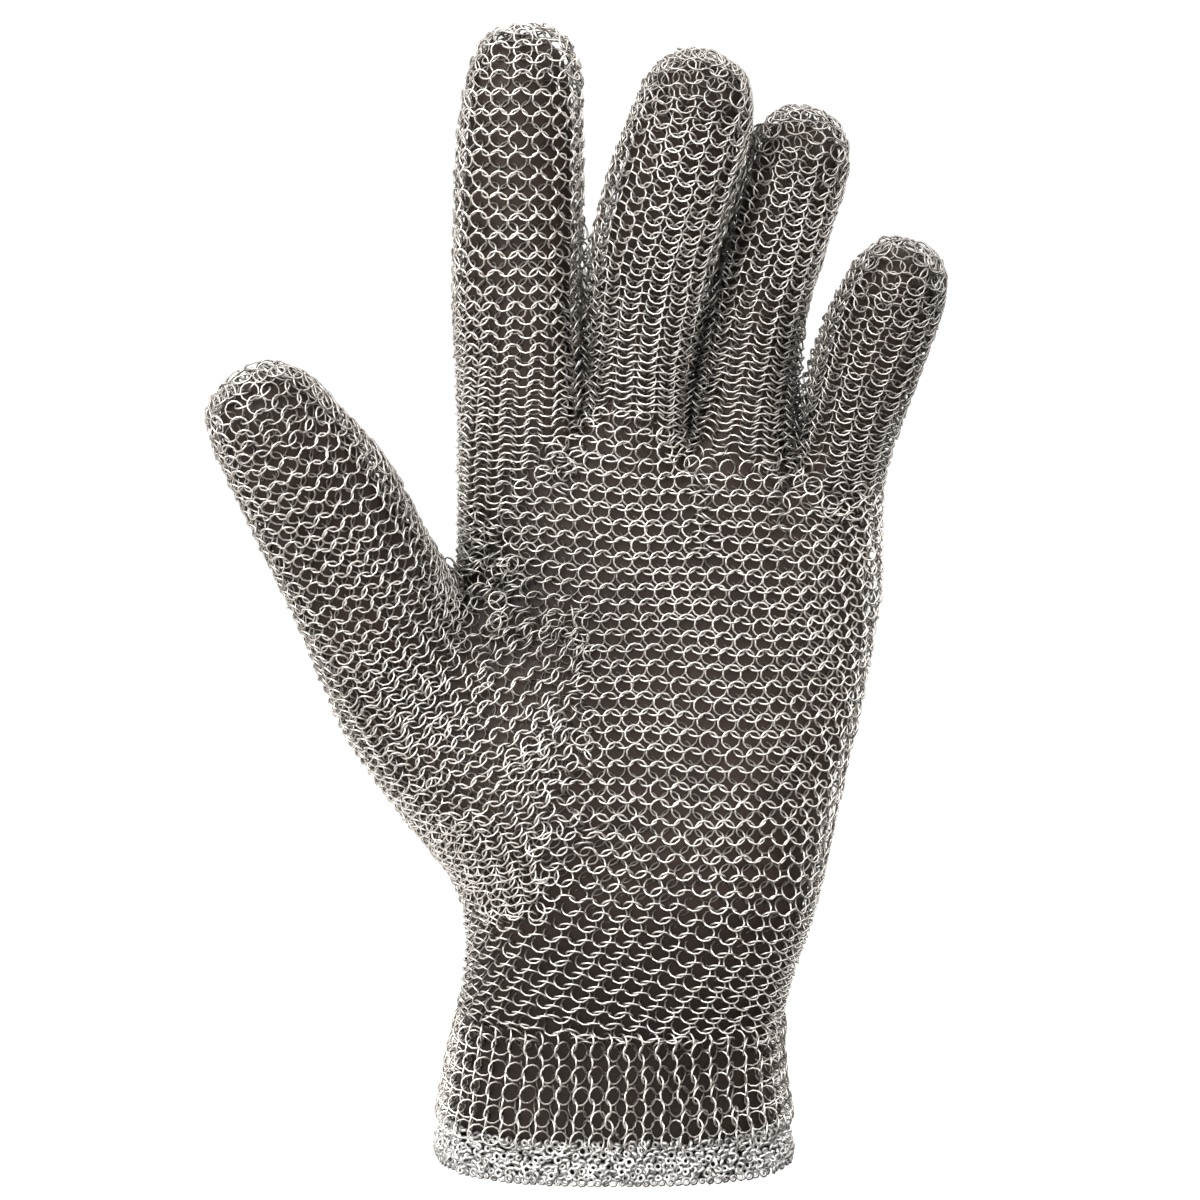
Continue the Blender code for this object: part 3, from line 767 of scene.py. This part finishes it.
def mend(skin, walls, mail):
    """Adds a ring over each bare spot that the sweeps leave, turned as the ring next to it."""
    rings = [ring for name in HAND_NODES for ring in mail[name]]
    tree = KDTree(len(rings))
    for i, ring in enumerate(rings):
        tree.insert(skin.nearest(ring.place)[0], i)
    tree.balance()
    added = []
    for point, normal in [*zip(skin.points, skin.normals), *skin.centres()]:
        _, index, distance = tree.find(point)
        if distance < BORDER_GAP:
            continue
        over = point + normal * MAIL_MIDDLE
        panel, by_border = panel_at(walls, over, HAND_NODES, normal.y < 0)
        gap = BORDER_GAP if by_border else BARE_GAP
        if panel is None or distance < gap or any((point - spot).length < gap for spot in added):
            continue
        tangent = rings[index].row
        mail[panel].append(stand_ring(
            point, normal, tangent, normal.cross(tangent), MEND_RADIUS, MEND_TILT, 1.0, 0.0,
            MEND_JITTER, bright=MEND_SHINE * painted_light_at(point, normal, "mended"),
        ))
        added.append(point)


def rub_and_shade_of(points, rings):
    """How bright each point of the rings is: painted shade low over the skin, rubbed high over
    it.
    """
    place = np.array([tuple(ring.place) for ring in rings])[:, None, None, :]
    normal = np.array([tuple(ring.normal) for ring in rings])[:, None, None, :]
    bright = np.array([ring.bright for ring in rings])[:, None, None]
    low, high = SHADED_TO_RUBBED
    height = ((points - place) * normal).sum(axis=3)
    return np.clip((height - low) / (high - low), 0.0, 1.0)**SHADE_TO_RUB_FALL * bright


def ring_mesh(name, rings, wire=WIRE_RADIUS, segments=RING_SEGMENTS, sides=WIRE_SIDES):
    """All the rings as one mesh."""
    centre = np.array([tuple(ring.centre) for ring in rings])
    row = np.array([tuple(ring.row) for ring in rings])
    rise = np.array([tuple(ring.rise) for ring in rings])
    radius = np.array([ring.radius for ring in rings])
    hub = np.cross(row, rise)
    turn = np.linspace(0.0, 2 * math.pi, segments, endpoint=False)
    around = np.linspace(0.0, 2 * math.pi, sides, endpoint=False) + math.pi / sides
    spoke = (
        row[:, None, :] * np.cos(turn)[None, :, None]
        + rise[:, None, :] * np.sin(turn)[None, :, None]
    )
    thick = wire * SIDE_BULGE
    points = centre[:, None, None, :] + spoke[:, :, None, :] * (
        radius[:, None, None, None] + thick * np.cos(around)[None, None, :, None]
    )
    points = points + hub[:, None, None, :] * (thick * np.sin(around))[None, None, :, None]
    segment, side = np.meshgrid(np.arange(segments), np.arange(sides), indexing="ij")
    next_segment, next_side = (segment + 1) % segments, (side + 1) % sides
    quads = np.stack([
        segment * sides + side,
        next_segment * sides + side,
        next_segment * sides + next_side,
        segment * sides + next_side,
    ], axis=-1).reshape(-1, 4)
    quads = (quads[None] + (np.arange(len(rings)) * segments * sides)[:, None, None]).ravel()
    mesh = bpy.data.meshes.new(name)
    mesh.vertices.add(points.size // 3)
    mesh.vertices.foreach_set("co", (points * MM).astype(np.float32).ravel())
    mesh.loops.add(len(quads))
    mesh.loops.foreach_set("vertex_index", quads.astype(np.int32))
    mesh.polygons.add(len(quads) // 4)
    mesh.polygons.foreach_set("loop_start", np.arange(0, len(quads), 4, dtype=np.int32))
    mesh.update(calc_edges=True)
    mesh.shade_smooth()
    # painted shade in the hollows and rub on the high wire, for each point
    rub_and_shade = mesh.attributes.new("rub_and_shade", "FLOAT", "POINT")
    rub_and_shade.data.foreach_set("value", rub_and_shade_of(points, rings).ravel())
    return linked_object(name, mesh)


def level_line(skin, z):
    """Closed line round the wrist at this height, from the middle of the palm side."""
    points = []
    for angle in np.linspace(0.0, 2 * math.pi, SWEEP_ANGLES, endpoint=False):
        direction = Vector((math.sin(angle), -math.cos(angle), 0.0))
        points.append(tuple(skin.hit(Vector((0.0, WRIST_MIDDLE_Y, z)), direction)))
    return np.array(points)


def point_along(arc, loop, arcs):
    """The point of a measured closed line at this distance along it."""
    return Vector([np.interp(arc, arcs, loop[:, axis]) for axis in range(3)])


def cuff_rings(skin):
    rings = []
    heights = np.arange(CUFF_LINES_LOW, CUFF_LINES_HIGH, CUFF_LINE_STEP)
    lines = [measured(level_line(skin, z)) for z in heights]
    for row in range(CUFF_ROWS):
        parity = row % 2
        side = 1.0 if parity else -1.0
        z = CUFF_RINGS_LOW + 0.5 * CUFF_PITCH * parity
        while z < CUFF_RINGS_HIGH:
            nearest = int(round((z - heights[0]) / CUFF_LINE_STEP))
            loop, arcs = lines[clamp(nearest, 0, len(heights) - 1)]
            wave = CUFF_WAVE * math.sin(0.3 * z + 0.4 * row)
            arc = (row + wave) / CUFF_ROWS % 1.0 * arcs[-1]
            spot = point_along(arc, loop, arcs)
            ahead = point_along((arc + 1.0) % arcs[-1], loop, arcs)
            place, normal = skin.nearest(spot)
            lift = float(np.interp(z, (CUFF_LOW, CUFF_HIGH), CUFF_LIFTS))
            rings.append(stand_ring(
                place, normal, UP, ahead - spot, CUFF_RADIUS, CUFF_TILTS[parity], side,
                CUFF_LEAN * side, 1.0, lift, CUFF_SHINE * painted_light_at(place, normal, "cuff"),
            ))
            z += CUFF_PITCH
    return rings


def hem_rings(skin):
    rings = []
    z, parity = HEM_LOW, 0
    while z < HEM_HIGH:
        loop, arcs = measured(level_line(skin, max(z, HEM_LEAST_LINE)))
        count = int(round(arcs[-1] / HEM_PITCH))
        calm = HEM_EDGE_CALM if z < HEM_EDGE else 1.0
        flare = HEM_FLARE * max(0.0, 1.0 - z / HEM_HIGH)
        for i in range(count):
            step = i + 0.5 * parity + rng.normal(0, HEM_PLACE_JITTER * calm)
            arc = step / count * arcs[-1] % arcs[-1]
            place, normal = skin.nearest(point_along(arc, loop, arcs))
            place.z = z + abs(rng.normal(0, HEM_HEIGHT_JITTER * calm))
            normal.z = 0.0
            normal.normalize()
            side = UP.cross(normal)
            tilt = rng.normal(0.0, HEM_TILT_JITTER * calm)
            roll = rng.normal(0.0, HEM_ROLL_JITTER * calm)
            row = (side * math.cos(roll) + normal * math.sin(roll)).normalized()
            rise = UP * math.cos(tilt) + normal * math.sin(tilt)
            rise = (rise - row * rise.dot(row)).normalized()
            centre = place + normal * (HEM_STAND + flare + rng.normal(0, HEM_STAND_JITTER))
            radius = HEM_RADIUS * (1 + rng.normal(0, HEM_SIZE_JITTER))
            centre.z = max(centre.z, radius + SIDE_BULGE * HEM_WIRE)
            # a random tone, darker towards the foot as painted shade
            tone_and_painted_shade = rng.uniform(*HEM_SHINE) * min(1.0, HEM_FOOT_PAINTED_LIGHT + HEM_PAINTED_LIGHT_RISE * z)
            rings.append(Ring(centre, row, rise, radius, place, normal, tone_and_painted_shade))
        z += HEM_ROW
        parity = 1 - parity
    return rings


# ---- materials


class Tree:
    """The nodes of a material or a world."""

    def __init__(self, owner):
        owner.use_nodes = True
        self.nodes, self.links = owner.node_tree.nodes, owner.node_tree.links

    def fill(self, node, inputs):
        """Fills inputs of a node, each with a number, a colour or another node's output."""
        for socket, value in inputs.items():
            if isinstance(value, bpy.types.NodeSocket):
                self.links.new(value, node.inputs[socket])
            else:
                node.inputs[socket].default_value = value
        return node

    def add(self, kind, inputs, operation=None):
        node = self.nodes.new("ShaderNode" + kind)
        if operation:
            node.operation = operation
        return self.fill(node, inputs)

    def noise(self, place, scale, detail):
        texture = self.add("TexNoise", {"Vector": place, "Scale": scale, "Detail": detail})
        return texture.outputs["Fac"]

    def sum_of(self, value, factor, added):
        """The value times the factor, and something added."""
        return self.add("Math", {0: value, 1: factor, 2: added}, "MULTIPLY_ADD").outputs["Value"]

    def ranged(self, value, start, end, low, high):
        """The value's range from start to end as a range from low to high."""
        return self.add("MapRange", {
            "Value": value, "From Min": start, "From Max": end, "To Min": low, "To Max": high,
        }).outputs["Result"]

    def ramp(self, value, first, last, *others):
        """Colours at positions of a value, each given as (position, (red, green, blue))."""
        node = self.add("ValToRGB", {"Fac": value})
        stops = node.color_ramp.elements
        for stop, (position, colour) in zip((stops[0], stops[1]), (first, last)):
            stop.position = position
            stop.color = (*colour, 1.0)
        for position, colour in others:
            stops.new(position).color = (*colour, 1.0)
        return node.outputs["Color"]

    def bump(self, height, strength, distance):
        return self.add(
            "Bump", {"Height": height, "Strength": strength, "Distance": distance}
        ).outputs["Normal"]


def new_material(name):
    material = bpy.data.materials.new(name)
    tree = Tree(material)
    return material, tree, tree.nodes["Principled BSDF"]


def steel(name, dark, light, roughness):
    """Steel wire: rubbed bright where it stands high, and darker in the hollows as painted shade,
    with fine marks.

    The rings' attribute goes from 0, dark with painted shade, to 1, rubbed bright, and
    roughness holds the values there.
    """
    material, tree, shader = new_material(name)
    place = tree.add("TexCoord", {}).outputs["Object"]
    attribute = tree.add("Attribute", {})
    attribute.attribute_name = "rub_and_shade"
    rub_and_shade = attribute.outputs["Fac"]
    tone = tree.sum_of(tree.noise(place, scale=300.0, detail=2.0), 0.6, rub_and_shade)
    polish = tree.sum_of(tree.noise(place, scale=900.0, detail=3.0), 0.5, rub_and_shade)
    marks = tree.noise(place, scale=4000.0, detail=2.0)
    tree.fill(shader, {
        "Metallic": 1.0,
        "Base Color": tree.ramp(tone, (0.15, dark), (1.0, light)),
        "Roughness": tree.ranged(polish, 0.0, 1.3, *roughness),
        "Normal": tree.bump(marks, strength=0.25, distance=0.00004),
    })
    return material


def leather(name):
    """Thin dark leather with a fine grain and a soft sheen, with painted shade at the wrist and
    crotch.
    """
    material, tree, shader = new_material(name)
    place = tree.add("TexCoord", {}).outputs["Object"]
    cloud = tree.noise(place, scale=70.0, detail=4.0)
    colour = tree.ramp(cloud, (0.3, (0.026, 0.0165, 0.0125)), (0.75, (0.052, 0.034, 0.026)))
    height = tree.add("SeparateXYZ", {"Vector": place}).outputs["Z"]
    distance = tree.add("VectorMath", {0: place, 1: CROTCH}, "DISTANCE").outputs["Value"]
    for measure, (near, far, share) in ((height, WRIST_SHADE), (distance, CROTCH_SHADE)):
        shade = tree.ranged(measure, near, far, share, 1.0)
        colour = tree.add("VectorMath", {0: colour, "Scale": shade}, "SCALE").outputs["Vector"]
    grain = tree.add("TexVoronoi", {"Vector": place, "Scale": 1500.0}).outputs["Distance"]
    tree.fill(shader, {
        "Specular IOR Level": 0.22,
        "Base Color": colour,
        "Roughness": tree.ranged(cloud, 0.0, 1.0, 0.42, 0.62),
        "Normal": tree.bump(grain, strength=0.3, distance=0.00008),
    })
    return material


def finish_piece(piece, material, slot, *nodes):
    piece.data.materials.append(material)
    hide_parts(*nodes)
    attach(piece, "root")


# ---- the glove

shell = outer_shell()
guide = smoothed_guide(shell, "shell_guide", 2)
skin = Skin(evaluated_mesh(guide))
walls = mail_walls()

wire_steel = steel("steel_wire", (0.085, 0.072, 0.062), (0.96, 0.925, 0.885), (0.50, 0.30))
hem_steel = steel("hem_steel", (0.16, 0.155, 0.15), (0.86, 0.85, 0.84), (0.55, 0.42))
lining_leather = leather("lining_leather")

mail = {name: [] for name in MAIL_NODES}
placed = []
for name in SWEEPS:
    spots = lattice(*sweep(skin, name), name)
    for panel, ring in ring_frames(skin, walls, name, spots, placed):
        mail[panel].append(ring)
        placed.append(ring.centre)
mend(skin, walls, mail)

palm = [ring for ring in mail["hand_mail"] if ring.normal.y < 0]
back = [ring for ring in mail["hand_mail"] if ring.normal.y >= 0]
finish_piece(ring_mesh("palm_rings", palm), wire_steel, "ring_mail", "hand_mail")
finish_piece(ring_mesh("back_rings", back), wire_steel, "ring_mail", "hand_mail")
for node in DIGIT_NODES:
    piece = ring_mesh(node.replace("_mail", "_rings"), mail[node])
    finish_piece(piece, wire_steel, "ring_mail", node)

cuff_piece = ring_mesh("cuff_rings", cuff_rings(skin))
finish_piece(cuff_piece, wire_steel, "ring_mail", "cuff_mail")
hem_piece = ring_mesh("hem_rings", hem_rings(skin), wire=HEM_WIRE, segments=HEM_SEGMENTS)
finish_piece(hem_piece, hem_steel, "hem_mail", "hem_mail")

# The lining is the shell, a little further out than the CAD lining's face, as a thin wall.
for vertex in shell.verts:
    vertex.co += vertex.normal * LINING_RISE
    if vertex.is_boundary:
        vertex.co.z = LINING_FOOT
bmesh.ops.scale(shell, vec=(MM,) * 3, verts=shell.verts)
lining_guide = smoothed_guide(shell, "lining_guide", 1)
wall = lining_guide.modifiers.new("wall", "SOLIDIFY")
wall.thickness = LINING_THICKNESS * MM
wall.offset = -1.0
lining_mesh = evaluated_mesh(lining_guide)
lining_mesh.shade_smooth()
lining_mesh.materials.clear()
lining = linked_object("lining_glove", lining_mesh)
finish_piece(lining, lining_leather, "lining", "lining")
for spare in (guide, lining_guide):
    bpy.data.objects.remove(spare)

# ---- the studio

GLOVE_MIDDLE = Vector((0.0, 0.0, 0.12))
FLOOR_CORNERS = ((-6, -6, 0), (6, -6, 0), (6, 6, 0), (-6, 6, 0))
FLOOR_DROP = 0.25  # how far under the glove the floor lies
ROOM_STRENGTH = 1.12
# The room is an even white to the eye and for soft light. What the metal mirrors of it is
# darkness with three diffusers in it: one before the glove at its upper left, one behind it
# at its upper right, and one behind it at its lower left. The last is the weakest, because
# its vector is the shortest.
DIFFUSERS = ((-0.40, -0.75, 0.53), (0.55, 0.55, 0.63), (-0.63, 0.38, -0.48))
DIFFUSER_STRENGTHS = (1.1, 2.6)  # away from the first, and on its side
DIFFUSER_EDGE = 0.3  # half the breadth over which one goes over into the other
# What is mirrored at how near to a diffuser, from 0, opposite to all of them, to 1
DARK = (0.45, (0.010, 0.009, 0.008))
BRIGHT = (0.97, (1.0, 0.975, 0.945))
BETWEEN = ((0.70, (0.075, 0.071, 0.067)), (0.85, (0.52, 0.505, 0.485)))

CAMERA_TARGET = Vector((-0.0029, 0.0, 0.120))
CAMERA_DISTANCE = 1.2
CAMERA_RISE = math.radians(9.0)
CAMERA_LENS = 171.0
CAMERA_SENSOR = 36.0


def aim(thing, target):
    thing.rotation_euler = (target - thing.location).to_track_quat("-Z", "Y").to_euler()


def softbox(name, place, size, watts):
    data = bpy.data.lights.new(name, "AREA")
    data.shape = "RECTANGLE"
    data.size, data.size_y = size
    data.energy = watts
    light = linked_object(name, data)
    light.location = place
    aim(light, GLOVE_MIDDLE)


floor_mesh = bpy.data.meshes.new("floor")
floor_mesh.from_pydata(FLOOR_CORNERS, [], [(0, 1, 2, 3)])
floor = linked_object("floor", floor_mesh)
floor.location.z = -FLOOR_DROP
floor.visible_glossy = False
floor_paper, floor_tree, floor_shader = new_material("floor_paper")
floor_tree.fill(floor_shader, {"Base Color": (0.95, 0.95, 0.95, 1.0), "Roughness": 0.9})
floor_mesh.materials.append(floor_paper)

softbox("key_softbox", (-0.50, -0.72, 0.76), size=(0.75, 0.60), watts=6.0)
softbox("fill_softbox", (0.80, -0.50, 0.55), size=(0.35, 0.5), watts=2.8)
softbox("back_softbox", (-0.2, 0.8, 0.8), size=(0.6, 0.5), watts=3.0)

world = bpy.data.worlds.new("studio")
bpy.context.scene.world = world
tree = Tree(world)
room = tree.fill(
    tree.nodes["Background"], {"Color": (1.0, 1.0, 1.0, 1.0), "Strength": ROOM_STRENGTH}
)
direction = tree.add("TexCoord", {}).outputs["Generated"]
levels = [
    tree.add("VectorMath", {0: direction, 1: toward}, "DOT_PRODUCT").outputs["Value"]
    for toward in DIFFUSERS
]
facing = levels[0]
for level in levels[1:]:
    facing = tree.add("Math", {0: facing, 1: level}, "MAXIMUM").outputs["Value"]
share = tree.ranged(facing, -1.0, 1.0, 0.0, 1.0)
mirrored = tree.add("Background", {
    "Color": tree.ramp(share, DARK, BRIGHT, *BETWEEN),
    "Strength": tree.ranged(levels[0], -DIFFUSER_EDGE, DIFFUSER_EDGE, *DIFFUSER_STRENGTHS),
})
path = tree.add("LightPath", {})
choose = tree.add("MixShader", {
    "Fac": path.outputs["Is Glossy Ray"],
    1: room.outputs["Background"],
    2: mirrored.outputs["Background"],
})
tree.fill(tree.nodes["World Output"], {"Surface": choose.outputs["Shader"]})

scene = bpy.context.scene
scene.view_settings.view_transform = "Standard"

camera_data = bpy.data.cameras.new("camera")
camera_data.lens = CAMERA_LENS
camera_data.sensor_width = CAMERA_SENSOR
camera = linked_object("camera", camera_data)
away = Vector((0.0, -math.cos(CAMERA_RISE), math.sin(CAMERA_RISE)))
camera.location = CAMERA_TARGET + away * CAMERA_DISTANCE
aim(camera, CAMERA_TARGET)
scene.camera = camera
